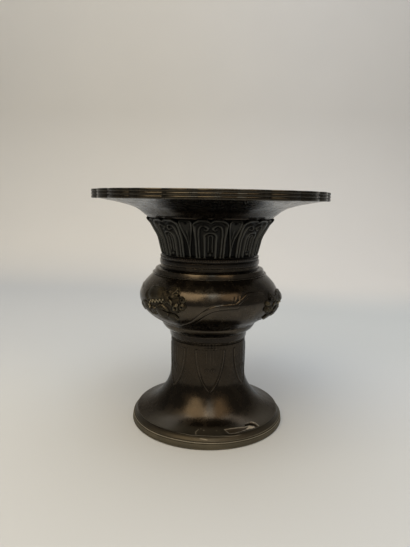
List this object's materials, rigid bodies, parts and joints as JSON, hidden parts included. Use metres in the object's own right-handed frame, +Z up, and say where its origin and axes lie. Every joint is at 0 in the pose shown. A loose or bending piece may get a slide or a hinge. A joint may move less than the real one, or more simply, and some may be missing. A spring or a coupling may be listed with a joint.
{
  "type": "bronze flower vase",
  "caption": "Round footed bronze flower vase with a broad lobed dish on a leaf cup, relief flower sprays on its belly and a deep well.",
  "frame": {"origin": "on the resting plane, under the vase's axis", "axes": "+Z up along the vase's axis, -Y towards the pictured front, +X to the right in that view"},
  "size_m": [0.2398, 0.2398, 0.24],
  "materials": {
    "dark_bronze": "dark brown-black patina, softly polished",
    "relief_bronze": "dark patina rubbed to brown on the high points",
    "rim_bronze": "brown patina, worn along the beads",
    "foot_bronze": "dull olive-brown patina",
    "inner_bronze": "rough dark inside surface"
  },
  "bodies": {
    "vase_body": {"foot_rim": "foot_bronze", "foot_and_stem": "dark_bronze", "stem_collar": "dark_bronze", "belly": "dark_bronze", "shoulder_collar": "dark_bronze", "flower_spray_1": "relief_bronze", "flower_spray_2": "relief_bronze", "flower_spray_3": "relief_bronze"},
    "neck_section": {"neck_ring": "dark_bronze", "neck_spigot": "inner_bronze", "leaf_calyx": "dark_bronze"},
    "dish_section": {"dish": "dark_bronze", "rim_band": "rim_bronze", "well_tube": "inner_bronze", "well_floor": "inner_bronze"}
  },
  "joints": [
    {"name": "neck_lift", "type": "slide", "parent": "vase_body", "child": "neck_section", "axis": [0, 0, 1], "range_m": [0, 0.06]},
    {"name": "dish_turn", "type": "hinge", "parent": "neck_section", "child": "dish_section", "pos_m": [0, 0, 0.2135], "axis": [0, 0, 1], "continuous": true}
  ]
}
